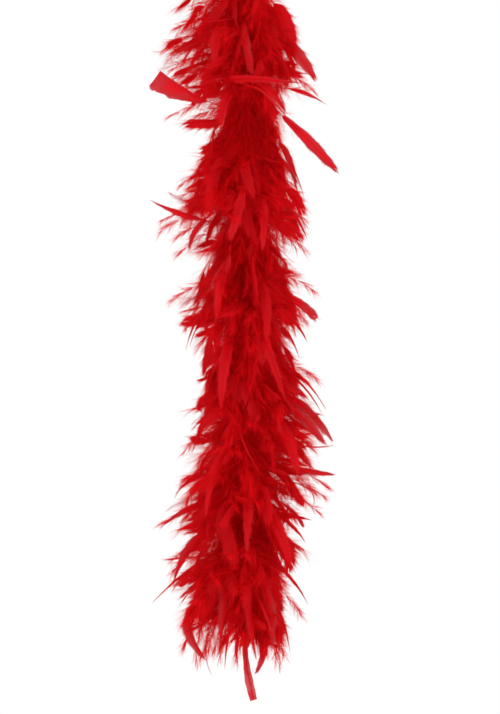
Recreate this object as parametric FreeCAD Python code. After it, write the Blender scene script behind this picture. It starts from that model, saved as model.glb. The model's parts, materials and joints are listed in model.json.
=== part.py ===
import FreeCAD, Part
import math
import os

# Feather boa, hanging as one strand from the loop at its upper end.
# Millimetres, +Z up. The origin is the bearing point of the hanging loop:
# the top of the loop's inside, where a hook or a peg carries it.
# The core is one cord folded in half: the fold is the loop, and its two plies
# are twisted together and grip the quills. The strand is cut into eight
# lengths that hinge on one another, because the core bends anywhere.

os.makedirs("parts", exist_ok=True)
V = FreeCAD.Vector

# ---- driving dimensions ---------------------------------------------------
ply_d = 2.6              # one ply of the cord
core_r = 2.6             # two plies twisted together, outer radius
loop_r = 9.0             # radius of the loop's bow, on the ply's centre line
neck_z = -31.0           # where the loop's legs come together
core_top_z = -41.0       # the loop's legs meet the twisted core here
pitch = 94.0             # length of strand from one bend to the next
first_bend_z = -145.0    # height of the first bend
core_bottom_z = -800.0   # lower end of the twisted core
bends = 7                # hinges along the strand
bend_limit = 45.0        # degrees each way
bend_gap = 0.5           # free space between two rounded core ends
down_r = 25.0            # packed down round the core
down_end_r = 7.0         # the down's radius where it tapers to a bend
blade_t = 1.2            # thickness of a feather's plain solid
quill_w = 2.4            # width of a feather at its quill
cone_deg = 38.0          # how far the hanging feathers stand off the vertical
root_r = 2.0             # where a quill is gripped, inside the core
whip_r = 4.4             # outside of the thread whippings
whip_len = 12.0          # length of each whipping
knot_r = 6.0             # stopper knot
tail_tip_z = -934.0      # tip of the long feather at the bottom

bend_z = [first_bend_z - pitch * i for i in range(bends)]
half = math.radians(bend_limit / 2.0)
core_clear = (core_r + bend_gap / 2.0) / math.cos(half)   # end centre to hinge


def save(name, shape):
    assert shape.isValid() and all(s.isClosed() for s in shape.Shells), name
    shape.exportStep("parts/" + name + ".step")
    print(name, len(shape.Solids), "solids", round(shape.Volume, 1), "mm3",
          [round(c, 1) for c in (shape.BoundBox.XMin, shape.BoundBox.XMax,
                                 shape.BoundBox.YMin, shape.BoundBox.YMax,
                                 shape.BoundBox.ZMin, shape.BoundBox.ZMax)])


def turned(points):
    """A closed solid of revolution about Z from (radius, z) points."""
    wire = Part.makePolygon([V(r, 0, z) for r, z in points + [points[0]]])
    return Part.Face(wire).revolve(V(0, 0, 0), V(0, 0, 1), 360)


# ---- the core -------------------------------------------------------------
def core_length(top, bottom, round_top, round_bottom):
    """A straight run of the twisted core; a hinged end is a half ball."""
    zt = top - core_clear if round_top else top
    zb = bottom + core_clear if round_bottom else bottom
    body = Part.makeCylinder(core_r, zt - zb, V(0, 0, zb))
    if round_top:
        body = body.fuse(Part.makeSphere(core_r, V(0, 0, zt)))
    if round_bottom:
        body = body.fuse(Part.makeSphere(core_r, V(0, 0, zb)))
    return body.removeSplitter()


# ---- packed down ----------------------------------------------------------
def down_length(top, bottom):
    """The packed down on one length: a barrel that tapers to both bends.

    A point at radius r clears the next length if it stands at least
    r tan(limit / 2) from the hinge; 1.5 mm more is left free."""
    def stand(r):
        return r * math.tan(half) + 1.5
    bore = core_r + 0.01
    pts = [(bore, top - stand(down_end_r)),
           (down_end_r, top - stand(down_end_r)),
           (0.72 * down_r, top - stand(0.72 * down_r)),
           (down_r, top - stand(down_r) - 6.0),
           (down_r, bottom + stand(down_r) + 6.0),
           (0.72 * down_r, bottom + stand(0.72 * down_r)),
           (down_end_r, bottom + stand(down_end_r)),
           (bore, bottom + stand(down_end_r))]
    return turned(pts)


# ---- feathers -------------------------------------------------------------
# half width along a feather, as shares of its length and of its width
BROAD = [(0.0, 0.08), (0.24, 0.09), (0.36, 0.34), (0.52, 0.45), (0.72, 0.50),
         (0.86, 0.44), (0.95, 0.26), (1.0, 0.06)]
NARROW = [(0.0, 0.10), (0.22, 0.16), (0.42, 0.46), (0.60, 0.50), (0.80, 0.34),
          (0.93, 0.15), (1.0, 0.04)]


def blade(azimuth, z_root, r_tip, z_tip, width, outline):
    """One feather: a flat leaf from the core out to its tip."""
    a = math.radians(azimuth)
    out = V(math.cos(a), math.sin(a), 0)
    side = V(-math.sin(a), math.cos(a), 0)
    root = out * root_r + V(0, 0, z_root)
    tip = out * r_tip + V(0, 0, z_tip)
    along = tip - root
    length = along.Length
    along = along * (1.0 / length)
    normal = along.cross(side)
    edge = [(u, w) for u, w in outline] + [(u, -w) for u, w in reversed(outline)]
    pts = []
    for u, w in edge:
        hw = max(abs(w) * width, quill_w / 2 if u < 0.9 else 0.0)
        hw = math.copysign(hw, w)
        pts.append(root + along * (u * length) + side * hw
                   - normal * (blade_t / 2))
    wire = Part.makePolygon(pts + [pts[0]])
    return Part.Face(wire).extrude(normal * blade_t)


def cone_blade(azimuth, z_root, length, width, outline=BROAD):
    c = math.radians(cone_deg)
    return blade(azimuth, z_root, root_r + length * math.sin(c),
                 z_root - length * math.cos(c), width, outline)


# Tiers of hanging feathers on one length: (distance below its top, length,
# turn of the tier about the core, width)
TIERS = [(14.0, 98.0, -9.0, 17.0), (41.0, 106.0, 5.0, 19.0),
         (68.0, 92.0, 11.0, 16.0)]

# Longer feathers that stand out of the bulk on each length:
# (azimuth, root z, tip radius, tip z, width)
LONG = [
    [(0, -89, 80, -138, 9), (180, -98, 92, -152, 13), (90, -92, 84, -146, 14),
     (270, -80, 78, -134, 12)],
    [(0, -176, 97, -222, 15), (180, -171, 109, -206, 16),
     (90, -182, 90, -232, 14), (270, -170, 94, -216, 14)],
    [(0, -270, 103, -306, 15), (180, -288, 105, -338, 14),
     (90, -270, 86, -322, 14), (270, -284, 98, -330, 15)],
    [(0, -358, 76, -398, 12), (180, -372, 74, -428, 14),
     (90, -371, 92, -414, 13), (270, -380, 84, -436, 14)],
    [(0, -458, 82, -498, 12), (180, -462, 80, -494, 13),
     (90, -472, 86, -520, 14), (270, -460, 80, -510, 14)],
    [(0, -574, 101, -622, 16), (180, -570, 74, -628, 14),
     (90, -572, 94, -612, 14), (270, -582, 88, -630, 13)],
    [(0, -661, 102, -680, 13), (180, -697, 100, -732, 15),
     (90, -672, 82, -724, 14), (270, -671, 92, -708, 14)],
    [(0, -772, 82, -824, 12), (180, -757, 106, -814, 12),
     (90, -768, 88, -822, 14), (270, -771, 84, -812, 13)],
]

tops = [core_top_z] + bend_z
bottoms = bend_z + [core_bottom_z]
for k, (top, bottom) in enumerate(zip(tops, bottoms), start=1):
    first, last = k == 1, k == len(tops)
    save("core_cord_%d" % k, core_length(top, bottom, not first, not last))
    down_top = top - whip_len if first else top
    down_bottom = bottom + whip_len + 3.0 if last else bottom
    save("down_%d" % k, down_length(down_top, down_bottom))
    hanging = []
    for n, (below, length, turn, width) in enumerate(TIERS):
        for q in range(4):
            jig = (q * 37 + n * 17 + k * 11) % 13 - 6
            hanging.append(cone_blade(45.0 + 90.0 * q + turn, top - below,
                                      length + jig, width,
                                      NARROW if (q + n + k) % 4 == 0 else BROAD))
    save("feathers_%d" % k, Part.makeCompound(hanging))
    save("long_feathers_%d" % k, Part.makeCompound(
        [blade(az, zr, rt, zt, w, NARROW if w < 13 else BROAD)
         for az, zr, rt, zt, w in LONG[k - 1]]))

# ---- the hanging loop -----------------------------------------------------
# The fold of the cord: legs side by side, a small bend at the neck, straight
# sides tangent to the bow.
r_ply = ply_d / 2.0
bow_c = V(0, 0, r_ply - loop_r)


def side_tangent(x0, z0):
    """Where the straight side from (x0, z0) touches the bow, on +X."""
    dx, dz = x0 - bow_c.x, z0 - bow_c.z
    dist = math.hypot(dx, dz)
    base = math.atan2(dz, dx)
    off = math.acos(loop_r / dist)
    return V(bow_c.x + loop_r * math.cos(base + off), 0,
             bow_c.z + loop_r * math.sin(base + off))


leg_x = r_ply + 0.05
touch = side_tangent(leg_x, neck_z)
neck = V(leg_x, 0, neck_z)
run = touch - neck
up = V(0, 0, 1)
turn = math.acos(max(-1.0, min(1.0, run.normalize().dot(up))))
neck_r = 8.0
t = neck_r * math.tan(turn / 2.0)
a1 = neck - up * t
a2 = neck + run * t
bis = (up * -1.0 + run)
bis.normalize()
mid = neck + bis * (neck_r / math.cos(turn / 2.0) - neck_r)
leg_foot = V(leg_x, 0, core_top_z)


def mirror(p):
    return V(-p.x, p.y, p.z)


edges = [
    Part.LineSegment(leg_foot, a1).toShape(),
    Part.Arc(a1, mid, a2).toShape(),
    Part.LineSegment(a2, touch).toShape(),
    Part.Arc(touch, V(0, 0, r_ply), mirror(touch)).toShape(),
    Part.LineSegment(mirror(touch), mirror(a2)).toShape(),
    Part.Arc(mirror(a2), mirror(mid), mirror(a1)).toShape(),
    Part.LineSegment(mirror(a1), mirror(leg_foot)).toShape(),
]
path = Part.Wire(edges)
ring = Part.Wire([Part.Circle(leg_foot, V(0, 0, 1), r_ply).toShape()])
loop = path.makePipeShell([ring], True, True)
save("hanging_loop", loop)
print("loop radii", loop_r, neck_r, "loop volume against section x length",
      round(loop.Volume / (math.pi * r_ply ** 2 * path.Length), 4))

# ---- whippings, knot and tail --------------------------------------------
def whipping(z_top):
    """Thread wound round the core, with a soft shoulder at each end."""
    b = core_r + 0.02
    return turned([(b, z_top), (whip_r - 0.7, z_top), (whip_r, z_top - 1.0),
                   (whip_r, z_top - whip_len + 1.0),
                   (whip_r - 0.7, z_top - whip_len), (b, z_top - whip_len)])


save("top_whipping", whipping(neck_z - 3.0))
save("bottom_whipping", whipping(core_bottom_z + whip_len))

knot_top = core_bottom_z
knot = turned([(0, knot_top), (2.6, knot_top), (4.8, knot_top - 1.4),
               (knot_r, knot_top - 4.6), (5.4, knot_top - 7.4),
               (3.2, knot_top - 9.6), (0, knot_top - 10.2)])
for x, y, lean in ((2.0, 0.8, 9.0), (-1.9, -0.6, -11.0)):
    end = Part.makeCylinder(1.2, 20.0, V(0, 0, -20))
    end.rotate(V(0, 0, 0), V(0, 1, 0), -lean)
    end.translate(V(x, y, knot_top - 7.0))
    knot = knot.fuse(end)
save("end_knot", knot.removeSplitter())

# the long thin feather gripped by the lower whipping
z_grip = core_bottom_z + 6.0
pts = []
for u, w in [(0.0, 0.12), (0.3, 0.14), (0.5, 0.42), (0.7, 0.5), (0.88, 0.32), (1.0, 0.05)]:
    pts.append((u, w))
edge = pts + [(u, -w) for u, w in reversed(pts)]
x0, y0, width = 1.5, 2.9, 8.0
x1, y1 = 10.0, 9.0
poly = []
for u, w in edge:
    hw = math.copysign(max(abs(w) * width, 0.8), w)
    poly.append(V(x0 + (x1 - x0) * u + hw, y0, z_grip + (tail_tip_z - z_grip) * u))
tail = Part.Face(Part.makePolygon(poly + [poly[0]])).extrude(V(0, blade_t, 0))
save("tail_feather", tail)
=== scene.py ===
import json
import math
import bpy
import numpy as np
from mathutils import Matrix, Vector


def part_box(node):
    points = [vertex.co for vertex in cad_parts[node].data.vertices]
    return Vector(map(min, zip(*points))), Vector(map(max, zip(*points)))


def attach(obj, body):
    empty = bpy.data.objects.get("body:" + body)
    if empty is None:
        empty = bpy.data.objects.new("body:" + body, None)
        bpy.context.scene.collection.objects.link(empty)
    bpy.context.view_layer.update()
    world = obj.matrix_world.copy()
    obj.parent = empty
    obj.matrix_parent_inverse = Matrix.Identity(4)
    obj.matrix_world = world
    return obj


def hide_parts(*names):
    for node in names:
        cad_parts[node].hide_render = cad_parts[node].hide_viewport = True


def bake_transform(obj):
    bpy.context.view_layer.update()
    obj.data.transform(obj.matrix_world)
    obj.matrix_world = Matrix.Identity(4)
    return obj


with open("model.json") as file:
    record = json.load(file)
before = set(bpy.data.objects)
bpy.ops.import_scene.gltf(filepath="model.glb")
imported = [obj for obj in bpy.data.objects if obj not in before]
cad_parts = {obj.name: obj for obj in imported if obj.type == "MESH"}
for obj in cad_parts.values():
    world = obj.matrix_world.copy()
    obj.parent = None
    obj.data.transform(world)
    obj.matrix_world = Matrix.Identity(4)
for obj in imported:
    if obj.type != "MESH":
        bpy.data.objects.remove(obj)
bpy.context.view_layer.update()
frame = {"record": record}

MM = 0.001
rng = np.random.default_rng(20852)

# ---------------------------------------------------------------------------
# the strand: heights in millimetres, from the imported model
# ---------------------------------------------------------------------------
bends = sorted((j for j in frame["record"]["behaviour"]["joints"]),
               key=lambda j: -j["pos_m"][2])
BEND_Z = [j["pos_m"][2] * 1000 for j in bends]
N_SEG = len(BEND_Z) + 1
CORE_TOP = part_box("core_cord_1")[1][2] * 1000
CORE_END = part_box("core_cord_%d" % N_SEG)[0][2] * 1000
edges_z = [CORE_TOP] + BEND_Z + [CORE_END]
mids = [(edges_z[i] + edges_z[i + 1]) / 2 for i in range(N_SEG)]
# zone i lies about bend i, from the middle of one length to that of the next
ZONES = len(BEND_Z)
zone_top = [CORE_TOP] + [mids[i] for i in range(1, ZONES)]
zone_end = [mids[i + 1] for i in range(ZONES - 1)] + [CORE_END]

SCALE = 1.2           # mm of boa to one step of the outline tables below
X0, Z0 = 246.0, -100.0


def sx(x):
    return (x - X0) * SCALE


def sz(y):
    return Z0 - y * SCALE


# outline of the bulk: (height step, left, right)
OUTLINE = np.array([
    (-80, 218, 274), (-40, 198, 284), (10, 180, 252), (25, 166, 252),
    (42, 158, 272), (62, 154, 294), (82, 154, 316), (100, 150, 288),
    (118, 186, 282), (138, 211, 279), (155, 192, 275), (178, 178, 286),
    (205, 152, 304), (225, 148, 308), (245, 174, 304), (275, 208, 290),
    (300, 190, 293), (320, 182, 316), (350, 172, 292), (372, 204, 294),
    (400, 204, 320), (425, 190, 326), (448, 198, 342), (470, 194, 334),
    (490, 182, 334), (515, 148, 316), (540, 186, 294), (560, 166, 296),
    (580, 154, 276), (605, 176, 280), (628, 162, 280), (648, 152, 282),
    (668, 172, 280), (700, 218, 256)], float)


def reach(cos_az, z):
    """How far the bulk stands out at this height and direction."""
    y = (Z0 - z) / SCALE
    left = (X0 - np.interp(y, OUTLINE[:, 0], OUTLINE[:, 1])) * SCALE
    right = (np.interp(y, OUTLINE[:, 0], OUTLINE[:, 2]) - X0) * SCALE
    mean = 0.5 * (left + right)
    side = right if cos_az > 0 else left
    c = cos_az * cos_az
    return side * c + mean * (1 - c)


# ---------------------------------------------------------------------------
# mesh buffers
# ---------------------------------------------------------------------------
class Buf:
    """Vertices, quads and triangles of one piece, with per-vertex values."""

    def __init__(self):
        self.v, self.q, self.t, self.a, self.b = [], [], [], [], []
        self.n = 0

    def add(self, verts, quads=None, tris=None, tone=0.5, along=0.0):
        verts = np.asarray(verts, float).reshape(-1, 3)
        k = len(verts)
        self.v.append(verts)
        self.a.append(np.broadcast_to(np.asarray(tone, float), (k,)))
        self.b.append(np.broadcast_to(np.asarray(along, float), (k,)))
        if quads is not None and len(quads):
            self.q.append(np.asarray(quads, np.int64).reshape(-1, 4) + self.n)
        if tris is not None and len(tris):
            self.t.append(np.asarray(tris, np.int64).reshape(-1, 3) + self.n)
        self.n += k

    def make(self, name, *materials, smooth=True):
        v = np.concatenate(self.v) * MM
        q = np.concatenate(self.q) if self.q else np.zeros((0, 4), np.int64)
        t = np.concatenate(self.t) if self.t else np.zeros((0, 3), np.int64)
        mesh = bpy.data.meshes.new(name)
        mesh.vertices.add(len(v))
        mesh.vertices.foreach_set("co", v.ravel())
        loops = np.concatenate([q.ravel(), t.ravel()])
        mesh.loops.add(len(loops))
        mesh.loops.foreach_set("vertex_index", loops)
        count = np.concatenate([np.full(len(q), 4), np.full(len(t), 3)])
        start = np.concatenate([[0], np.cumsum(count)[:-1]])
        mesh.polygons.add(len(count))
        mesh.polygons.foreach_set("loop_start", start)
        mesh.update(calc_edges=True)
        if smooth:
            mesh.polygons.foreach_set("use_smooth", np.ones(len(count), bool))
        for attr, data in (("tone", self.a), ("barb", self.b)):
            layer = mesh.attributes.new(attr, "FLOAT", "POINT")
            layer.data.foreach_set("value", np.concatenate(data).astype(np.float32))
        mesh.update()
        ob = bpy.data.objects.new(name, mesh)
        bpy.context.scene.collection.objects.link(ob)
        for m in materials:
            mesh.materials.append(m)
        return ob


def unit(a):
    a = np.asarray(a, float)
    return a / np.maximum(np.linalg.norm(a, axis=-1, keepdims=True), 1e-9)


# ---------------------------------------------------------------------------
# one feather
# ---------------------------------------------------------------------------
class Rachis:
    """The quill's curve: three control points, a facing and a twist."""

    def __init__(self, p0, p1, p2, facing, twist, k=18, wave=0.0, p3=None):
        s = np.linspace(0, 1, k)
        p0, p1, p2 = (np.asarray(p, float) for p in (p0, p1, p2))
        if p3 is None:
            c = (np.outer((1 - s) ** 2, p0) + np.outer(2 * s * (1 - s), p1)
                 + np.outer(s ** 2, p2))
        else:
            p3 = np.asarray(p3, float)
            c = (np.outer((1 - s) ** 3, p0) + np.outer(3 * s * (1 - s) ** 2, p1)
                 + np.outer(3 * s ** 2 * (1 - s), p2) + np.outer(s ** 3, p3))
        t = unit(np.gradient(c, axis=0))
        n = np.empty_like(c)
        prev = unit(np.asarray(facing, float) - np.dot(facing, t[0]) * t[0])
        for i in range(k):
            prev = unit(prev - np.dot(prev, t[i]) * t[i])
            n[i] = prev
        if wave:
            c = c + n * (wave * np.sin(s * 9.0) * s)[:, None]
            t = unit(np.gradient(c, axis=0))
            n = unit(n - np.sum(n * t, axis=1, keepdims=True) * t)
        ang = twist * s
        b = np.cross(t, n)
        self.n = n * np.cos(ang)[:, None] + b * np.sin(ang)[:, None]
        self.b = np.cross(t, self.n)
        self.c, self.t, self.s = c, t, s
        self.length = float(np.linalg.norm(np.diff(c, axis=0), axis=1).sum())

    def at(self, s):
        f = lambda a: np.stack([np.interp(s, self.s, a[:, i]) for i in range(3)], -1)
        return f(self.c), unit(f(self.t)), unit(f(self.n)), unit(f(self.b))


def quill(buf, r, tone, r0=0.62, r1=0.10, stop=0.98, sides=4):
    k = 13
    s = np.linspace(0, stop, k)
    c, t, n, b = r.at(s)
    rad = r0 + (r1 - r0) * s ** 0.7
    ang = np.linspace(0, 2 * math.pi, sides, endpoint=False)
    v = (c[:, None] + rad[:, None, None] * (np.cos(ang)[None, :, None] * n[:, None]
         + np.sin(ang)[None, :, None] * b[:, None]))
    i = np.arange(k - 1)[:, None] * sides
    j = np.arange(sides)[None]
    jn = (j + 1) % sides
    q = np.stack([i + j, i + jn, i + sides + jn, i + sides + j], -1).reshape(-1, 4)
    cap = len(v.reshape(-1, 3))
    tip = c[-1] + t[-1] * 1.2
    tris = [[(k - 1) * sides + a, (k - 1) * sides + (a + 1) % sides, cap] for a in range(sides)]
    base = [[(a + 1) % sides, a, cap + 1] for a in range(sides)]
    buf.add(np.vstack([v.reshape(-1, 3), tip, c[0]]), q, tris + base, tone, 0.0)


def vane(buf, r, width, tone, start=0.45, rows=64, shape="broad", fray=1.0,
         camber=0.22, splits=1, web=0.64, lop=None, stop=1.0, g=rng):
    """The webbed part: barbs joined side by side, free and soft at their ends."""
    m, cols = rows, 3
    s = start + (stop - start) * np.linspace(0, 1, m + 1) ** 0.92
    x = (s - start) / (stop - start)
    c, t, n, b = r.at(s)
    half = width / 2
    if shape == "cut":                      # one-sided, square across its end
        ang = np.radians(np.interp(x, [0, 0.4, 0.8, 1], [42, 54, 76, 92]))
        lb = half / math.sin(math.radians(56)) * np.interp(
            x, [0, 0.2, 0.5, 0.85, 1], [0.5, 0.8, 1.0, 1.0, 0.92])
    elif shape == "broad":
        ang = np.radians(np.interp(x, [0, 0.5, 0.8, 1], [44, 34, 22, 7]))
        lb = half / math.sin(math.radians(36)) * np.interp(
            x, [0, 0.12, 0.35, 0.7, 0.88, 1], [0.66, 0.92, 1.04, 1.0, 0.80, 0.40])
    elif shape == "blunt":
        ang = np.radians(np.interp(x, [0, 0.5, 0.8, 0.92, 1], [44, 38, 30, 17, 3]))
        lb = half / math.sin(math.radians(40)) * np.interp(
            x, [0, 0.12, 0.4, 0.8, 0.92, 1], [0.34, 0.62, 0.92, 1.06, 0.92, 0.60])
    elif shape == "point":
        ang = np.radians(np.interp(x, [0, 0.5, 0.8, 1], [36, 26, 15, 4]))
        lb = half / math.sin(math.radians(30)) * np.interp(
            x, [0, 0.15, 0.4, 0.75, 1], [0.6, 0.92, 1.0, 0.66, 0.30])
    else:                                   # narrow, almost stripped
        ang = np.radians(np.interp(x, [0, 0.5, 1], [22, 16, 7]))
        lb = half / math.sin(math.radians(18)) * np.interp(
            x, [0, 0.2, 0.6, 1], [0.5, 0.9, 1.0, 0.4])
    ripple = g.uniform(0, 6.28)
    freq = g.uniform(4, 8)
    for side in (-1.0, 1.0):
        # where the web has come apart, a group of barbs swings away
        grp = np.zeros(m + 1, int)
        off = np.zeros(m + 1)
        lift = np.zeros(m + 1)
        if splits and g.random() < 0.45 * splits:
            cut = int(g.integers(int(0.3 * m), int(0.92 * m)))
            grp[cut:] += 1
            off[cut:] += math.radians(g.uniform(-2.5, 1.5))
            lift[cut:] += g.uniform(-0.10, 0.10)
        p1, p2, p3 = g.uniform(0, 6.28, 3)
        f1, f2, f3 = g.uniform(9, 15), g.uniform(22, 34), g.uniform(45, 70)
        a = ang + off + np.radians(1.6 * np.sin(f1 * x + p1) + g.normal(0, 0.4, m + 1))
        asym = 1.0 if side > 0 else g.uniform(0.72, 1.0)
        if lop is not None:
            asym = lop if side > 0 else 1.0
        L = lb * asym * (1 + 0.05 * np.sin(f1 * x + p2) + 0.03 * np.sin(f2 * x + p3))
        tt = np.linspace(0, web, cols + 1)
        P = np.empty((m + 1, cols + 1, 3))
        for j, u in enumerate(tt):
            fwd = np.cos(a) * u + 0.10 * u * u
            out = np.sin(a) * u - 0.06 * u * u
            z = (-camber * u * u + lift * u
                 + 0.05 * np.sin(freq * x + ripple + side) * u)
            P[:, j] = (c + (L * fwd)[:, None] * t + (side * L * out)[:, None] * b
                       + (L * z)[:, None] * n)
        verts = P.reshape(-1, 3)
        w = cols + 1
        ok = grp[1:] == grp[:-1]
        keep = np.nonzero(ok)[0]
        i = keep[:, None] * w
        j = np.arange(cols)[None]
        q = np.stack([i + j, i + j + 1, i + w + j + 1, i + w + j], -1)
        if side < 0:
            q = q[..., ::-1]
        q = q.reshape(-1, 4)
        # free barb ends: each runs on past the web, leaning into soft locks
        a0 = P[:-1, cols]
        a1 = P[1:, cols]
        e = 0.5 * (a0 + a1)
        dirs = unit(P[:-1, cols] - P[:-1, cols - 1])
        xm = x[:-1]
        lean = (0.30 * np.sin(f2 * xm + p1) + 0.22 * np.sin(f3 * xm + p2)
                + g.normal(0, 0.07, m))[:, None]
        ext = (np.maximum(L[:-1], 5.0) * (0.97 - web) * fray * (1 + 0.30 * np.sin(f2 * xm + p3))
               * g.uniform(0.5, 1.5, m))[:, None]
        up = g.normal(0, 0.12, (m, 1)) * n[:-1]
        mid = e + (dirs + 0.4 * lean * t[:-1] + 0.4 * up) * ext * 0.5
        ends = e + (dirs + lean * t[:-1] + up) * ext
        half_gap = 0.22 * (a1 - a0)
        fb = len(verts)
        k = np.arange(m)
        q2 = np.stack([k * w + cols, fb + k, fb + m + k, (k + 1) * w + cols], -1)[ok]
        tri = np.stack([fb + k, fb + 2 * m + k, fb + m + k], -1)[ok]
        if side < 0:
            q2 = q2[:, ::-1]
            tri = tri[:, ::-1]
        along = np.repeat(np.arange(m + 1), w) * 0.5 + np.tile(tt * 2.0, m + 1)
        along = np.concatenate([along, np.tile(np.arange(m) * 0.5 + 2.2, 2), np.arange(m) * 0.5 + 2.4])
        # band is the vane's own random tone; on top of it the web is painted lighter towards the tip and the free edges
        # and darker at the quill, and the free barb ends lighter still: painted light through the thin web
        band = 0.03 * np.sin(f1 * x + p3) + g.normal(0, 0.012, m + 1)
        band_and_painted_light = (band + 0.10 * (x - 0.5))[:, None] + 0.14 * (np.arange(w) / cols - 0.55)[None]
        tn = tone + np.concatenate([band_and_painted_light.ravel(), np.tile(0.08 + 0.1 * (xm - 0.5), 2), np.full(m, 0.14)])
        buf.add(np.vstack([verts, mid - half_gap, mid + half_gap, ends]),
                np.vstack([q, q2]), tri, tn, along)


def barbs(buf, r, width, tone, start=0.45, rows=60, shape="broad", cover=0.6,
          camber=0.2, g=rng):
    """A vane whose barbs have come unzipped: separate strips with gaps."""
    s = start + (1 - start) * np.sort(g.random(rows)) ** 0.92
    x = (s - start) / (1 - start)
    c, t, n, b = r.at(s)
    half = width / 2
    if shape == "point":
        ang = np.radians(np.interp(x, [0, 0.5, 0.8, 1], [38, 28, 17, 6]))
        lb = half / math.sin(math.radians(30)) * np.interp(
            x, [0, 0.15, 0.4, 0.75, 1], [0.7, 0.95, 1.0, 0.66, 0.30])
    else:
        ang = np.radians(np.interp(x, [0, 0.5, 0.8, 1], [50, 42, 30, 12]))
        lb = half / math.sin(math.radians(38)) * np.interp(
            x, [0, 0.12, 0.35, 0.7, 0.88, 1], [0.8, 0.95, 1.02, 1.0, 0.8, 0.5])
    gap = r.length * (1 - start) / rows
    steps = 5
    for side in (-1.0, 1.0):
        clump = 4.0 * np.sin(x * g.uniform(14, 26) + g.uniform(0, 6)) + g.normal(0, 2.2, rows)
        a = ang + np.radians(clump)
        L = lb * (1 + g.normal(0, 0.10, rows))
        lift = g.normal(0, 0.08, rows)
        P = np.empty((rows, steps, 2, 3))
        for i, u in enumerate(np.linspace(0, 1, steps)):
            fwd = np.cos(a) * u + 0.12 * u * u
            out = np.sin(a) * u - 0.07 * u * u
            z = -camber * u * u + lift * u
            p = (c + (L * fwd)[:, None] * t + (side * L * out)[:, None] * b
                 + (L * z)[:, None] * n)
            w = 0.5 * gap * cover * (1 - 0.75 * u) if i < steps - 1 else 0.03
            P[:, i, 0] = p - t * w
            P[:, i, 1] = p + t * w
        base = (np.arange(rows) * steps * 2)[:, None]
        i = (np.arange(steps - 1) * 2)[None]
        q = np.stack([base + i, base + i + 1, base + i + 3, base + i + 2], -1)
        if side > 0:
            q = q[..., ::-1]
        tn = np.repeat(tone + 0.08 + g.normal(0, 0.05, rows), steps * 2)
        buf.add(P.reshape(-1, 3), q.reshape(-1, 4), None, tn, 0.0)


def down(buf, r, tone, count, length, lo=0.04, hi=0.55, spread=55, width=0.32,
         droop=0.25, g=rng, steps=6):
    """Free downy barbs about the quill, wavy and drooping."""
    s = g.uniform(lo, hi, count)
    c, t, n, b = r.at(s)
    side = np.where(g.random(count) < 0.5, -1.0, 1.0)[:, None]
    phi = np.radians(g.normal(0, spread, count))[:, None]
    al = np.radians(g.uniform(38, 82, count))[:, None]
    d = unit(np.cos(al) * t + np.sin(al) * (np.cos(phi) * side * b + np.sin(phi) * n))
    L = (length * g.uniform(0.55, 1.15, count)
         * np.interp(s, [lo, lo + 0.1, 0.5 * (lo + hi), hi], [0.7, 1.0, 1.0, 0.75]))[:, None]
    k1 = unit(np.cross(d, g.normal(0, 1, (count, 3))))
    k2 = np.cross(d, k1)
    bend = g.normal(0, 0.30, (count, 1))
    ph = g.uniform(0, 6.28, (count, 1))
    fr = g.uniform(4, 9, (count, 1))
    amp = g.uniform(0.01, 0.035, (count, 1))
    down_v = np.array([0, 0, -1.0])
    us = np.linspace(0, 1, steps)
    P = np.empty((count, steps, 2, 3))
    for i, u in enumerate(us):
        p = (c + L * (d * u + k1 * bend * u * u + down_v * droop * u * u
                      + t * 0.12 * u * u)
             + L * amp * (np.sin(fr * u + ph) * k1 + np.cos(fr * 1.3 * u + ph) * k2))
        w = 0.5 * width * (1 - 0.72 * u) * (0.6 if i == 0 else 1.0)
        if i == steps - 1:
            w = 0.03
        wv = k2 * math.cos(2.2 * u) + k1 * math.sin(2.2 * u)
        P[:, i, 0] = p - wv * w
        P[:, i, 1] = p + wv * w
    verts = P.reshape(-1, 3)
    base = (np.arange(count) * steps * 2)[:, None]
    i = (np.arange(steps - 1) * 2)[None]
    q = np.stack([base + i, base + i + 1, base + i + 3, base + i + 2], -1).reshape(-1, 4)
    tn = np.repeat(tone + g.normal(0, 0.08, count), steps * 2)
    al = np.tile(np.repeat(us, 2), count)
    buf.add(verts, q, None, tn, al)


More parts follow.
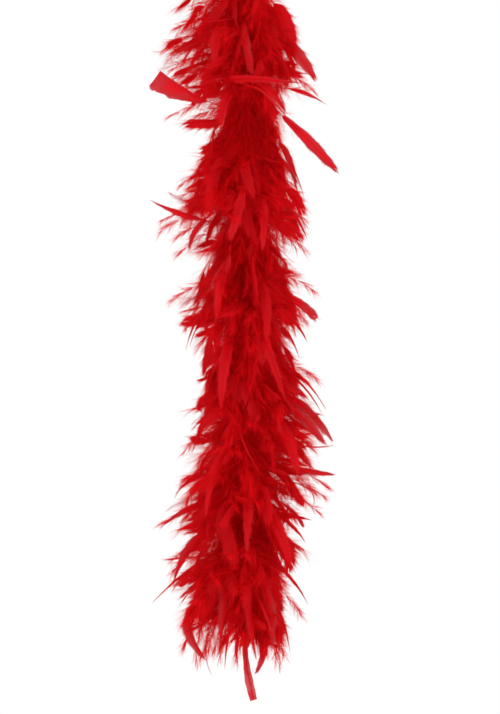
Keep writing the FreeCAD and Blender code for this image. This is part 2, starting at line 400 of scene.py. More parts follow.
def locks(buf, r, tone, count, per, length, lo=0.04, hi=0.95, spread=38, width=0.30,
          droop=0.2, gather=0.25, tip=0.72, g=rng, steps=6):
    """Soft barbs in locks: those of one lock share a line and draw together."""
    s0 = lo + (hi - lo) * g.random(count) ** 0.85
    s = np.clip(s0[:, None] + g.normal(0, 0.018, (count, per)), lo, hi)
    c = r.at(s.ravel())[0].reshape(count, per, 3)
    c0, t, n, b = r.at(s0)
    frac = (s0 - lo) / (hi - lo)
    side = np.where(g.random(count) < 0.5, -1.0, 1.0)[:, None]
    phi = np.radians(g.normal(0, spread, count))[:, None]
    al = np.radians(np.interp(frac, [0, 0.5, 0.85, 1], [66, 46, 22, 9]) + g.normal(0, 9, count))[:, None]
    d = unit(np.cos(al) * t + np.sin(al) * (np.cos(phi) * side * b + np.sin(phi) * n))
    L = length * g.uniform(0.7, 1.2, count) * np.interp(frac, [0, 0.15, 0.6, 1], [0.75, 1.0, 0.95, tip])
    L = L[:, None] * g.uniform(0.72, 1.08, (count, per))
    thin = np.ones((count, per))
    fly = g.random((count, per)) < 0.08
    L[fly] *= 1.35
    thin[fly] = 0.5
    k1 = unit(np.cross(d, g.normal(0, 1, (count, 3))))
    k2 = np.cross(d, k1)
    bend = g.normal(0, 0.26, (count, 1))
    ph = g.uniform(0, 6.28, (count, 1))
    fr = g.uniform(3, 7, (count, 1))
    amp = g.uniform(0.01, 0.03, (count, 1))
    turn = g.uniform(0, 3.14, (count, 1))
    rel = c - c0[:, None]
    jit = g.normal(0, 0.08, (count, per, 3))
    fall = np.array([0, 0, -1.0])
    us = np.linspace(0, 1, steps)
    P = np.empty((count, per, steps, 2, 3))
    for i, u in enumerate(us):
        line = (d * u + k1 * bend * u * u + fall * droop * u * u + t * 0.12 * u * u
                + amp * (np.sin(fr * u + ph) * k1 + np.cos(fr * 1.3 * u + ph) * k2))
        p = (c0[:, None] + rel * (1 - gather * u)
             + L[..., None] * (line[:, None] + jit * (u * (1 - 0.35 * u))))
        w = 0.5 * width * (1 - 0.70 * u) * (0.7 if i == 0 else 1.0)
        if i == steps - 1:
            w = 0.03
        wv = (k2 * np.cos(turn + 1.6 * u) + k1 * np.sin(turn + 1.6 * u))[:, None] * (w * thin)[..., None]
        P[:, :, i, 0] = p - wv
        P[:, :, i, 1] = p + wv
    total = count * per
    base = (np.arange(total) * steps * 2)[:, None]
    i = (np.arange(steps - 1) * 2)[None]
    q = np.stack([base + i, base + i + 1, base + i + 3, base + i + 2], -1).reshape(-1, 4)
    tn = (tone + g.normal(0, 0.03, count)[:, None] + g.normal(0, 0.02, (count, per))).ravel()
    buf.add(P.reshape(-1, 3), q, None, np.repeat(tn, steps * 2), 0.0)


# ---------------------------------------------------------------------------
# the feathers of the boa
# ---------------------------------------------------------------------------
vanes = [Buf() for _ in range(ZONES)]
fluff = [Buf() for _ in range(ZONES)]
plume_f = [Buf() for _ in range(ZONES)]
plume_b = [Buf() for _ in range(ZONES)]
end_f, end_b, bunch_f, bunch_b = Buf(), Buf(), Buf(), Buf()
inner = [Buf() for _ in range(ZONES)]
quills = [Buf() for _ in range(ZONES)]
outer = [Buf() for _ in range(ZONES)]
outer_q = [Buf() for _ in range(ZONES)]


def zone_of(z):
    for i in range(ZONES):
        if z > zone_end[i]:
            return i
    return ZONES - 1


# hollows in the bulk (x, height step, radius in steps): feathers passing one are drawn back into it and get a dark
# tone, which is painted shade
HOLLOWS = [(247, 118, 15), (224, 230, 10), (250, 519, 10), (256, 636, 9), (283, 500, 11), (232, 350, 8)]


def body_feather(z_root, az, chord, tilt, bunch=False):
    g = rng
    out = np.array([math.cos(az), math.sin(az), 0.0])
    side = np.array([-math.sin(az), math.cos(az), 0.0])
    R = reach(math.cos(az), z_root - 0.8 * chord)
    for _ in range(2):
        r_tip = min(R * tilt, 0.96 * chord)
        drop = math.sqrt(max(chord ** 2 - r_tip ** 2, 1.0))
        R = reach(math.cos(az), z_root - drop)
    z_tip = z_root - drop
    floor = sz(660) + abs(g.normal(0, 7))
    if z_tip < floor:
        z_tip = floor
        r_tip = r_tip * g.uniform(0.25, 1.0)
        drop = z_root - z_tip
    root = out * 1.6 + np.array([0, 0, z_root])
    tip = out * r_tip + side * g.normal(0, 13) + np.array([0, 0, z_tip])
    if g.random() < 0.52:
        mid = root + out * (r_tip * g.uniform(0.5, 0.95)) + np.array([0, 0, -drop * g.uniform(0.10, 0.34)])
    else:
        mid = root + out * (r_tip * g.uniform(0.15, 0.45)) + np.array([0, 0, -drop * g.uniform(0.45, 0.8)])
    mid = mid + side * g.normal(0, 14)
    painted_hollow_shade = False
    if math.sin(az) < -0.2:
        u = np.linspace(0.3, 1.0, 8)[:, None]
        way = (1 - u) ** 2 * root + 2 * u * (1 - u) * mid + u ** 2 * tip
        for hx, hy, hr in HOLLOWS:
            near_it = np.hypot(way[:, 0] - sx(hx), way[:, 2] - sz(hy)) < hr * 1.3
            if near_it.any():
                pull = np.array([1.0, 0.48, 1.0])
                mid, tip = mid * pull, tip * pull
                painted_hollow_shade = True
                break
    turn = g.normal(0, 0.8)
    face = out * math.cos(turn) + side * math.sin(turn) + np.array([0, 0, 0.35])
    r = Rachis(root, mid, tip, face, g.normal(0, 0.9), wave=g.normal(0, 0.9))
    z = zone_of(z_root)
    tone = float(np.clip(g.normal(0.5, 0.10), 0.1, 0.9))
    # a feather drawn into a hollow is painted dark: painted shade
    if painted_hollow_shade:
        tone = 0.12
    plume = False
    kind = g.random()
    if kind < 0.60:
        front = math.sin(az) < 0
        if bunch:
            tuft = bunch_f if front else bunch_b
        elif z_root < CORE_END + 62:
            tuft = end_f if front else end_b
        else:
            tuft = plume_f[z] if front else plume_b[z]
        locks(tuft, r, tone, 58, 5, g.uniform(17, 26), 0.03, 0.98, width=0.36, gather=0.18)
        plume = True
        if g.random() < 0.5:
            vane(vanes[z], r, g.uniform(10, 17), tone, start=g.uniform(0.62, 0.76), rows=40,
                 shape="point", camber=g.uniform(0.0, 0.3), fray=1.5, splits=0, web=0.5)
    elif kind < 0.83:
        w = g.uniform(16, 29)
        start = g.uniform(0.38, 0.52)
        vane(vanes[z], r, w * 1.08, tone, start=start, shape="broad" if g.random() < 0.7 else "blunt",
             camber=g.uniform(0.0, 0.45), rows=64, splits=1, fray=1.15)
        locks(fluff[z], r, tone, 22, 4, g.uniform(15, 22), 0.03, start + 0.14, tip=0.8)
    elif kind < 0.89:
        vane(vanes[z], r, g.uniform(9, 15), tone, start=0.40, shape="point", rows=52,
             camber=g.uniform(0.0, 0.3), splits=1, fray=1.2)
        locks(fluff[z], r, tone, 22, 4, g.uniform(14, 20), 0.03, 0.52, tip=0.8)
    elif kind < 0.96:
        barbs(vanes[z], r, g.uniform(16, 26), tone, start=0.42, rows=70,
              shape="broad" if g.random() < 0.6 else "point", cover=g.uniform(0.5, 0.9))
        locks(fluff[z], r, tone, 22, 4, g.uniform(15, 22), 0.03, 0.55, tip=0.8)
    else:
        vane(vanes[z], r, g.uniform(3, 6), tone, start=0.35, shape="narrow", rows=30,
             camber=0.1, splits=0)
        locks(fluff[z], r, tone, 8, 6, 13, 0.03, 0.34, tip=0.8)
    quill(quills[z], r, tone, stop=0.86 if plume else 0.98)


FEATHERS = 1080
golden = math.pi * (3 - math.sqrt(5))
top_root, end_root = CORE_TOP - 9.0, CORE_END + 4.0
for k in range(FEATHERS):
    f = (k + 0.5) / FEATHERS
    z_root = top_root + (end_root - top_root) * f + rng.normal(0, 2.0)
    z_root = float(np.clip(z_root, end_root, top_root))
    az = k * golden + rng.normal(0, 0.25)
    chord = rng.uniform(56, 102)
    if z_root < CORE_END + 30:
        chord = rng.uniform(58, 98)
    tilt = rng.uniform(0.62, 1.02) if rng.random() < 0.93 else rng.uniform(1.02, 1.22)
    body_feather(z_root, az, chord, tilt)
# the bunch that hangs over the lower end
for k in range(130):
    body_feather(rng.uniform(CORE_END + 4.0, CORE_END + 30.0), k * golden * 1.7,
                 rng.uniform(64, 98), math.sqrt(rng.uniform(0.01, 1.0)), bunch=True)

# the downy bases packed about the core
for i in range(ZONES):
    za, zb = min(zone_top[i], top_root), max(zone_end[i], end_root)
    count = int((za - zb) * 60)
    zc = rng.uniform(zb, za, count)
    azs = rng.uniform(0, 2 * math.pi, count)
    d = unit(np.stack([np.cos(azs), np.sin(azs), rng.normal(-0.55, 0.4, count)], -1))
    c = np.stack([1.5 * np.cos(azs), 1.5 * np.sin(azs), zc], -1)
    L = rng.uniform(22, 52, count)[:, None]
    k1 = unit(np.cross(d, rng.normal(0, 1, (count, 3))))
    k2 = np.cross(d, k1)
    bend = rng.normal(0, 0.35, (count, 1))
    steps = 6
    P = np.empty((count, steps, 2, 3))
    for n, u in enumerate(np.linspace(0, 1, steps)):
        p = c + L * (d * u + k1 * bend * u * u + np.array([0, 0, -0.3]) * u * u) \
            + L * 0.03 * np.sin(7 * u + azs * 5)[:, None] * k1
        w = 0.22 * (1 - 0.7 * u) if n < steps - 1 else 0.03
        wv = k2 * math.cos(2.0 * u) + k1 * math.sin(2.0 * u)
        P[:, n, 0] = p - wv * w
        P[:, n, 1] = p + wv * w
    base = (np.arange(count) * steps * 2)[:, None]
    n = (np.arange(steps - 1) * 2)[None]
    q = np.stack([base + n, base + n + 1, base + n + 3, base + n + 2], -1).reshape(-1, 4)
    # the inner down gets lower tones than the outer feathers, so it reads darker: painted shade deep in the bulk
    inner[i].add(P.reshape(-1, 3), q, None, np.repeat(rng.uniform(0.2, 0.6, count), steps * 2), 0.0)

# Feathers that stand out of the bulk, each by its quill's control points in
# the outline's steps (x, height) with a depth in mm (towards -Y is nearer).
# (root, control, tip, width mm, shape, start, openness, facing)
F = (0, -1, 0.1)
HERO = [
    ((246, 112, -4), (200, 106, -22), (158, 73, -14), 42, "half", 0.42, 0.0, (0.1, -1, -0.1)),
    ((246, 98, 0), (210, 96, -10), (172, 116, -8), 15, "plume", 0.10, 0, F),
    ((246, 102, 0), (214, 104, 4), (188, 122, 2), 14, "plume", 0.10, 0, F),
    ((246, 20, 0), (204, 14, -6), (174, 30, -6), 15, "plume", 0.10, 0, F),
    ((246, 44, 0), (200, 36, 6), (160, 52, 6), 14, "plume", 0.10, 0, F),
    ((246, 60, 0), (204, 62, -10), (168, 84, -8), 13, "plume", 0.10, 0, F),
    ((246, 36, 0), (274, 34, 4), (298, 58, 6), 14, "plume", 0.10, 0, F),
    ((246, 66, 0), (286, 66, -4), (314, 92, -2), 14, "plume", 0.10, 0, F),
    ((246, 206, 0), (200, 200, 0), (162, 220, 4), 14, "plume", 0.10, 0, F),
    ((246, 216, 0), (206, 218, -8), (176, 238, -8), 15, "plume", 0.10, 0, F),
    ((246, 186, 0), (212, 178, -6), (184, 196, -6), 15, "plume", 0.10, 0, F),
    ((246, 190, 0), (282, 196, 4), (304, 222, 4), 15, "plume", 0.10, 0, F),
    ((246, 218, 0), (284, 222, -8), (304, 250, -8), 15, "plume", 0.10, 0, F),
    ((246, 276, 0), (208, 276, -4), (172, 300, -4), 16, "plume", 0.10, 0, F),
    ((246, 290, 0), (208, 300, 4), (184, 330, 4), 14, "plume", 0.10, 0, F),
    ((246, 272, 0), (284, 268, 0), (312, 290, 0), 16, "plume", 0.10, 0, F),
    ((246, 290, 0), (286, 292, -10), (306, 322, -10), 14, "plume", 0.10, 0, F),
    ((246, 356, 0), (290, 358, 0), (318, 380, 0), 14, "plume", 0.10, 0, F),
    ((246, 400, 0), (292, 408, 4), (322, 440, 4), 16, "plume", 0.10, 0, F),
    ((246, 420, 0), (290, 432, -6), (312, 468, -6), 16, "plume", 0.10, 0, F),
    ((246, 456, 0), (290, 464, 4), (314, 492, 4), 15, "plume", 0.10, 0, F),
    ((246, 420, 0), (206, 424, 0), (184, 452, 0), 15, "plume", 0.10, 0, F),
    ((246, 470, 0), (204, 462, -4), (180, 484, -4), 14, "plume", 0.10, 0, F),
    ((246, 556, 0), (204, 562, 0), (176, 584, 0), 15, "plume", 0.10, 0, F),
    ((246, 540, 0), (204, 538, 6), (172, 560, 6), 15, "plume", 0.10, 0, F),
    ((246, 574, 0), (206, 590, -6), (186, 622, -6), 15, "plume", 0.10, 0, F),
    ((246, 574, 0), (284, 584, 2), (300, 614, 2), 15, "plume", 0.10, 0, F),
    ((246, 574, 0), (228, 612, -10), (214, 650, -8), 15, "plume", 0.10, 0, F),
    ((246, 574, 0), (262, 612, -6), (266, 652, -6), 15, "plume", 0.10, 0, F),
    ((246, 574, 0), (244, 616, 6), (236, 660, 6), 15, "plume", 0.10, 0, F),
    ((246, 574, 0), (200, 604, -2), (184, 646, -2), 17, "plume", 0.10, 0, F),
    ((246, 576, 0), (212, 620, 8), (200, 660, 8), 16, "plume", 0.10, 0, F),
    ((246, 576, 0), (272, 620, 4), (276, 664, 4), 14, "plume", 0.10, 0, F),
    ((246, 576, 0), (214, 596, -14), (206, 648, -16), 17, "plume", 0.10, 0, F),
    ((246, 576, 0), (220, 600, 14), (208, 652, 16), 17, "plume", 0.10, 0, F),
    ((246, 576, 0), (206, 590, 4), (198, 640, 6), 17, "plume", 0.10, 0, F),
    ((246, 578, 0), (226, 610, 2), (220, 656, 2), 16, "plume", 0.10, 0, F),
    ((246, 578, 0), (198, 584, -8), (190, 632, -8), 15, "plume", 0.10, 0, F),
    ((246, 576, 0), (276, 616, -2), (284, 656, -2), 13, "plume", 0.10, 0, F),
    ((246, 468, 0), (292, 472, -2), (326, 498, -2), 15, "plume", 0.10, 0, F),
    ((246, 478, 0), (290, 484, 2), (318, 512, 2), 15, "plume", 0.10, 0, F),
    ((246, 576, 0), (280, 622, -6), (280, 668, -6), 12, "plume", 0.10, 0, F),
    ((246, 576, 0), (196, 606, 0), (196, 660, 0), 15, "plume", 0.10, 0, F),
    ((246, 452, 0), (296, 462, -10), (328, 488, -8), 13, "plume", 0.10, 0, F),
    ((246, 500, 0), (200, 502, -2), (160, 524, -2), 15, "plume", 0.10, 0, F),
    ((246, 204, 0), (198, 206, -4), (160, 232, -4), 16, "plume", 0.10, 0, F),
    ((246, 222, 0), (206, 228, 4), (178, 254, 4), 16, "plume", 0.10, 0, F),
    ((232, 88, 0), (206, 82, -104), (300, 88, -62), 17, "broad", 0.34, 0.0, (0.1, -1, 0.6)),
    ((236, 104, 0), (246, 74, -112), (284, 118, -60), 19, "broad", 0.34, 0.0, (0.1, -1, 0.5)),
    ((246, 40, 0), (196, 36, -8), (166, 62, -4), 16, "broad", 0.45, 0.6, (-0.2, -1, 0.2)),
    ((246, 24, 0), (196, 20, 0), (176, 36, 0), 12, "point", 0.45, 0.5, F),
    ((246, 60, 0), (200, 52, 10), (158, 70, 6), 14, "broad", 0.5, 0.75, F),
    ((246, 36, 0), (284, 26, -10), (314, 78, -6), 21, "broad", 0.36, 0.25, (0.3, -1, 0.2)),
    ((246, 92, 0), (292, 80, -10), (325, 104, -6), 8, "point", 0.50, 0.1, (0.1, -1, 0.5)),
    ((246, 45, 0), (262, 28, -12), (286, 13, -14), 1.2, "narrow", 0.60, 0, F),
    ((246, 24, 0), (270, 30, -12), (300, 33, -8), 2.0, "narrow", 0.50, 0, F),
    ((246, 68, 0), (280, 70, -20), (315, 77, -16), 2.0, "narrow", 0.50, 0, F),
    ((246, 92, 0), (284, 112, -28), (334, 169, -16), 21, "blunt", 0.44, 0.0, (-0.1, -1, 0.1)),
    ((246, 120, 0), (288, 138, -10), (304, 198, -6), 3.6, "narrow", 0.40, 0, F),
    ((246, 130, 0), (280, 150, -14), (300, 188, -10), 8, "point", 0.45, 0.2, F),
    ((246, 226, 0), (196, 224, -10), (152, 201, -8), 12, "point", 0.45, 0.25, (0, -1, 0.4)),
    ((246, 214, 0), (190, 208, 6), (168, 192, 4), 10, "point", 0.5, 0.5, F),
    ((246, 200, 0), (196, 214, -16), (190, 248, -20), 9, "broad", 0.5, 0.1, F),
    ((246, 188, 0), (292, 196, -8), (307, 239, -6), 8, "point", 0.45, 0.1, F),
    ((246, 285, 0), (198, 296, -14), (186, 350, -8), 4.2, "narrow", 0.40, 0, F),
    ((246, 283, 0), (202, 300, 6), (190, 345, 2), 4.0, "narrow", 0.40, 0, F),
    ((246, 296, 0), (205, 286, -10), (180, 306, -4), 11, "broad", 0.60, 0.5, F),
    ((246, 286, 0), (292, 290, -10), (313, 315, -6), 17, "blunt", 0.50, 0.15, (0.2, -1, 0.3)),
    ((246, 298, 0), (292, 306, -4), (307, 342, -6), 7, "point", 0.45, 0.1, F),
    ((246, 304, 0), (288, 318, -14), (299, 358, -10), 5, "point", 0.45, 0, F),
    ((246, 345, 0), (300, 362, -10), (325, 408, -8), 4.6, "narrow", 0.40, 0, F),
    ((246, 350, 0), (298, 368, 0), (321, 412, 0), 4.0, "narrow", 0.40, 0, F),
    ((246, 378, 0), (302, 392, -20), (331, 437, -14), 18, "broad", 0.42, 0.05, (0, -1, 0.35)),
    ((246, 386, 0), (296, 402, -34), (322, 441, -30), 16, "broad", 0.42, 0.05, (-0.2, -1, 0.3)),
    ((246, 430, 0), (300, 452, -8), (334, 445, -6), 3.2, "narrow", 0.40, 0, F),
    ((246, 446, 0), (296, 428, 6), (314, 476, 6), 5.0, "point", 0.45, 0.1, F),
    ((246, 464, 0), (292, 468, -14), (333, 474, -10), 10, "broad", 0.50, 0.1, (0, -1, 0.5)),
    ((246, 480, 0), (322, 476, -6), (313, 506, -6), 3.0, "narrow", 0.40, 0, F),
    ((246, 492, 0), (290, 498, -8), (303, 525, -8), 8, "blunt", 0.50, 0.1, F),
    ((246, 500, 0), (200, 494, -8), (162, 526, -6), 12, "point", 0.45, 0.15, (0, -1, 0.4)),
    ((246, 496, 0), (196, 488, 4), (165, 512, 4), 10, "point", 0.5, 0.7, F),
    ((246, 466, 0), (204, 468, 0), (182, 480, 0), 9, "broad", 0.60, 0.5, F),
    ((246, 504, 0), (288, 512, -6), (305, 542, -6), 7, "point", 0.45, 0.2, F),
    ((246, 540, 0), (197, 556, -8), (154, 601, -4), 5.4, "narrow", 0.36, 0, F),
    ((246, 515, 0), (190, 524, -16), (174, 582, -12), 15, "point", 0.40, 0.1, (0.2, -1, 0.2)),
    ((246, 545, 0), (287, 562, -8), (308, 604, -6), 6, "point", 0.40, 0.1, F),
    ((246, 575, 0), (283, 596, -10), (290, 652, -8), 5.6, "point", 0.40, 0.1, F),
    ((242, 572, 0), (160, 606, -10), (204, 656, -12), 15, "broad", 0.40, 0.1, (0.2, -1, 0)),
    ((240, 575, 0), (190, 634, -12), (212, 674, -12), 4.6, "point", 0.45, 0.3, F),
    ((242, 578, 0), (226, 630, -14), (225, 668, -12), 4.0, "point", 0.45, 0.1, F),
    ((246, 578, 0), (276, 642, -6), (256, 672, -6), 11, "broad", 0.45, 0.1, F),
    ((248, 575, 0), (268, 620, -10), (279, 658, -10), 6, "point", 0.45, 0.1, F),
    # on the near face of the bulk
    ((246, 16, 0), (240, 20, -64), (251, 76, -62), 18, "blunt", 0.40, 0, (-0.2, -1, 0.15)),
    ((246, 8, 0), (214, 20, -50), (216, 66, -56), 19, "broad", 0.40, 0.05, (-0.3, -1, 0.2)),
    ((246, 84, 0), (262, 78, -64), (284, 112, -50), 17, "broad", 0.35, 0, (0.3, -1, 0.6)),
    ((246, 92, 0), (226, 86, -60), (222, 128, -56), 17, "broad", 0.4, 0.05, (-0.3, -1, 0.3)),
    ((246, 150, 0), (212, 152, -48), (212, 214, -52), 20, "broad", 0.35, 0, (-0.4, -1, 0.1)),
    ((246, 172, 0), (250, 176, -70), (232, 238, -66), 18, "blunt", 0.40, 0, (0.1, -1, 0.1)),
    ((246, 186, 0), (268, 186, -62), (262, 250, -62), 16, "broad", 0.40, 0.05, (0.3, -1, 0.1)),
    ((246, 250, 0), (222, 254, -58), (218, 318, -60), 18, "broad", 0.40, 0, (-0.2, -1, 0.1)),
    ((246, 270, 0), (270, 276, -64), (266, 340, -62), 18, "broad", 0.38, 0, (0.3, -1, 0.1)),
    ((246, 318, 0), (262, 320, -72), (284, 396, -58), 17, "broad", 0.36, 0.05, (0.3, -1, 0.2)),
    ((246, 330, 0), (224, 332, -66), (222, 404, -60), 19, "broad", 0.40, 0, (-0.3, -1, 0.1)),
    ((246, 396, 0), (226, 418, -78), (262, 474, -66), 8, "point", 0.35, 0, (0.1, -1, 0.1)),
    ((246, 410, 0), (286, 410, -60), (296, 470, -52), 20, "broad", 0.36, 0.05, (0.4, -1, 0.1)),
    ((246, 440, 0), (218, 440, -60), (208, 510, -52), 19, "broad", 0.38, 0.05, (-0.3, -1, 0.1)),
    ((246, 468, 0), (250, 476, -76), (246, 548, -66), 18, "broad", 0.40, 0, (0, -1, 0.1)),
    ((246, 500, 0), (276, 500, -62), (290, 562, -50), 18, "broad", 0.40, 0.05, (0.4, -1, 0.1)),
    ((246, 548, 0), (242, 552, -66), (256, 652, -52), 19, "broad", 0.36, 0, (0.1, -1, 0.1)),
    ((246, 560, 0), (224, 562, -52), (222, 640, -46), 17, "broad", 0.40, 0.05, (-0.2, -1, 0.1)),
    ((246, 566, 0), (270, 570, -46), (272, 640, -40), 16, "broad", 0.40, 0.05, (0.3, -1, 0.1)),
]
for root, ctrl, tip, width, shape, start, openness, facing in HERO:
    p0, p1, p2 = ([sx(p[0]), p[2], sz(p[1])] for p in (root, ctrl, tip))
    p0[0] *= 0.3
    p0[2] = max(p0[2], CORE_END + 3)
    r = Rachis(p0, p1, p2, unit(np.array(facing)), rng.normal(0, 0.18), k=24)
    z = zone_of(p0[2])
    near = tip[2] < -40
    tone = float(np.clip(rng.normal(0.54, 0.09), 0.3, 0.7))
    # the outer vanes take high tones (0.70 to 0.86), in the bright and pink stops of their ramp: painted light showing
    # through the thin vanes
    if shape == "plume":
        locks(end_f if p0[2] < CORE_END + 62 else plume_f[z], r, tone, int(50 + 2 * width), 5, width, start, 0.99, width=0.34, gather=0.12)
    elif shape == "half":
        vane(outer[z], r, width, 0.86, start=start, rows=80, shape="cut",
             camber=0.08, splits=0, fray=0.7, web=0.86, lop=0.14, stop=0.985)
    elif openness >= 0.3:
        barbs(outer[z], r, width, 0.80, start=start, rows=int(150 - 60 * openness), shape=shape,
              cover=1.0 - 0.7 * openness, camber=0.12)
    else:
        # near-face vanes are lifted 0.12 in tone, a painted highlight; edge vanes are set high, painted light showing
        # through
        tone_with_painted_light = min(tone + 0.12, 0.76) if near else 0.84 if width > 7 else 0.70
        vane(outer[z], r, width, tone_with_painted_light, start=start, rows=76 if width > 7 else 40, shape=shape,
             camber=rng.uniform(0.16, 0.34), splits=0, fray=1.2, web=0.62 if near else 0.74)
    if width > 6 and shape != "plume":
        locks(fluff[z], r, tone, 32, 4, 21, 0.05, start + 0.16, tip=0.8)
    quill(outer_q[z], r, tone, r0=0.6 if width > 3 else 0.75, r1=0.14,
          stop=0.86 if shape == "plume" else 0.98)

# the long thin feather at the lower end
p0, p1, p2, p3 = ([sx(a), d, sz(b)] for a, b, d in
                  ((245, 0, 2), (243, 618, 3), (242, 660, 0), (254.5, 701.5, -4)))
p0[2] = CORE_END + 6
p0[0] = 1.5
tail_r = Rachis(p0, p1, p2, (0.05, -1, 0.1), 0.12, k=30, p3=p3)
tail = Buf()
# tone 0.90 lies in the pink stops of its ramp: painted light showing through the thin feather
vane(tail, tail_r, 10.5, 0.90, start=0.44, rows=90, shape="cut", camber=0.16,
     splits=0, fray=0.6, web=0.86, stop=0.985)
quill(tail, tail_r, 0.35, r0=0.75, r1=0.2)
down(fluff[ZONES - 1], tail_r, 0.5, 26, 12, 0.1, 0.5)


# ---------------------------------------------------------------------------
# materials
# ---------------------------------------------------------------------------
def material(name):
    m = bpy.data.materials.new(name)
    m.use_nodes = True
    nt = m.node_tree
    nt.nodes.clear()
    out = nt.nodes.new("ShaderNodeOutputMaterial")
    return m, nt, out


def node(nt, kind, **inputs):
    n = nt.nodes.new(kind)
    for k, v in inputs.items():
        k = k.replace("_", " ")
        n.inputs[k].default_value = v
    return n


def math_node(nt, op, a, b=None, clamp=False):
    n = nt.nodes.new("ShaderNodeMath")
    n.operation = op
    n.use_clamp = clamp
    for i, x in enumerate((a, b)):
        if x is None:
            continue
        if isinstance(x, (int, float)):
            n.inputs[i].default_value = x
        else:
            nt.links.new(x, n.inputs[i])
    return n.outputs[0]


def ramp(nt, fac, stops):
    n = nt.nodes.new("ShaderNodeValToRGB")
    while len(n.color_ramp.elements) < len(stops):
        n.color_ramp.elements.new(0.5)
    for e, (p, c) in zip(n.color_ramp.elements, stops):
        e.position = p
        e.color = (*c, 1)
    nt.links.new(fac, n.inputs[0])
    return n.outputs[0]


def feather_material(name, stops, trans, trans_mix, rough, streak, bump, scale):
    m, nt, out = material(name)
    tone = nt.nodes.new("ShaderNodeAttribute"); tone.attribute_name = "tone"
    barb = nt.nodes.new("ShaderNodeAttribute"); barb.attribute_name = "barb"
    pos = nt.nodes.new("ShaderNodeTexCoord")
    noise = node(nt, "ShaderNodeTexNoise", Scale=scale, Detail=3.0, Roughness=0.55)
    nt.links.new(pos.outputs["Object"], noise.inputs["Vector"])
    line = math_node(nt, "SINE", math_node(nt, "MULTIPLY", barb.outputs["Fac"], 6.2832 * 2))
    fac = math_node(nt, "ADD", tone.outputs["Fac"],
                    math_node(nt, "ADD",
                              math_node(nt, "MULTIPLY", math_node(nt, "SUBTRACT", noise.outputs["Fac"], 0.5), 0.40),
                              math_node(nt, "MULTIPLY", line, streak)), clamp=True)
    col = ramp(nt, fac, stops)
    p = nt.nodes.new("ShaderNodeBsdfPrincipled")
    nt.links.new(col, p.inputs["Base Color"])
    p.inputs["Specular IOR Level"].default_value = 0.07
    p.inputs["Sheen Weight"].default_value = 0.06
    p.inputs["Sheen Roughness"].default_value = 0.5
    p.inputs["Sheen Tint"].default_value = (1.0, 0.06, 0.08, 1)
    r = math_node(nt, "ADD", rough, math_node(nt, "MULTIPLY", noise.outputs["Fac"], 0.2))
    nt.links.new(r, p.inputs["Roughness"])
    if bump:
        bn = nt.nodes.new("ShaderNodeBump")
        bn.inputs["Strength"].default_value = bump
        bn.inputs["Distance"].default_value = 0.0004
        nt.links.new(line, bn.inputs["Height"])
        nt.links.new(bn.outputs[0], p.inputs["Normal"])
    tr = nt.nodes.new("ShaderNodeBsdfTranslucent")
    if isinstance(trans, list):
        nt.links.new(ramp(nt, fac, trans), tr.inputs["Color"])
    else:
        tr.inputs["Color"].default_value = (*trans, 1)
    mix = nt.nodes.new("ShaderNodeMixShader")
    mix.inputs[0].default_value = trans_mix
    nt.links.new(p.outputs[0], mix.inputs[1])
    nt.links.new(tr.outputs[0], mix.inputs[2])
    nt.links.new(mix.outputs[0], out.inputs["Surface"])
    return m


# the darkest stops of these ramps, reached by the feathers in the hollows and by the inner down, carry painted shade
VANE_STOPS = [(0.0, (0.49, 0.0016, 0.0042)), (0.45, (0.62, 0.0042, 0.0090)), (1.0, (0.75, 0.0085, 0.0160))]
DOWN_STOPS = [(0.0, (0.55, 0.0012, 0.0034)), (0.5, (0.85, 0.0045, 0.0105)), (1.0, (0.94, 0.0100, 0.0200))]
# ramp for the outer and tail vanes: its 0.74 stop is a brighter red, a painted highlight, and the pink stops above it,
# with the translucent colour that follows them, are painted light showing through the thin vanes
VANE_AND_PAINTED_THROUGH_LIGHT_STOPS = [(0.0, (0.49, 0.0016, 0.0042)), (0.45, (0.65, 0.0046, 0.0096)), (0.74, (0.85, 0.0100, 0.0182)),
              (0.88, (0.60, 0.030, 0.038)), (1.0, (0.64, 0.085, 0.095))]
PALE_LIGHT = [(0.0, (0.84, 0.009, 0.016)), (0.74, (0.86, 0.010, 0.018)), (0.88, (0.72, 0.034, 0.044)),
              (1.0, (0.78, 0.12, 0.13))]
QUILL_STOPS = [(0.0, (0.40, 0.001, 0.004)), (0.5, (0.62, 0.003, 0.009)), (1.0, (0.78, 0.010, 0.02))]
vane_mat = feather_material("red_satin_vane", VANE_STOPS, (0.84, 0.009, 0.016), 0.48, 0.42, 0.012, 0.12, 30.0)
vane_painted_through_light_mat = feather_material("red_vane_painted_through_light", VANE_AND_PAINTED_THROUGH_LIGHT_STOPS, PALE_LIGHT, 0.48, 0.42, 0.012, 0.12, 30.0)
down_mat = feather_material("red_down", DOWN_STOPS, (0.96, 0.014, 0.024), 0.55, 0.62, 0.0, 0.0, 30.0)
quill_mat = feather_material("red_quill", QUILL_STOPS, (0.7, 0.02, 0.03), 0.12, 0.30, 0.0, 0.0, 120.0)


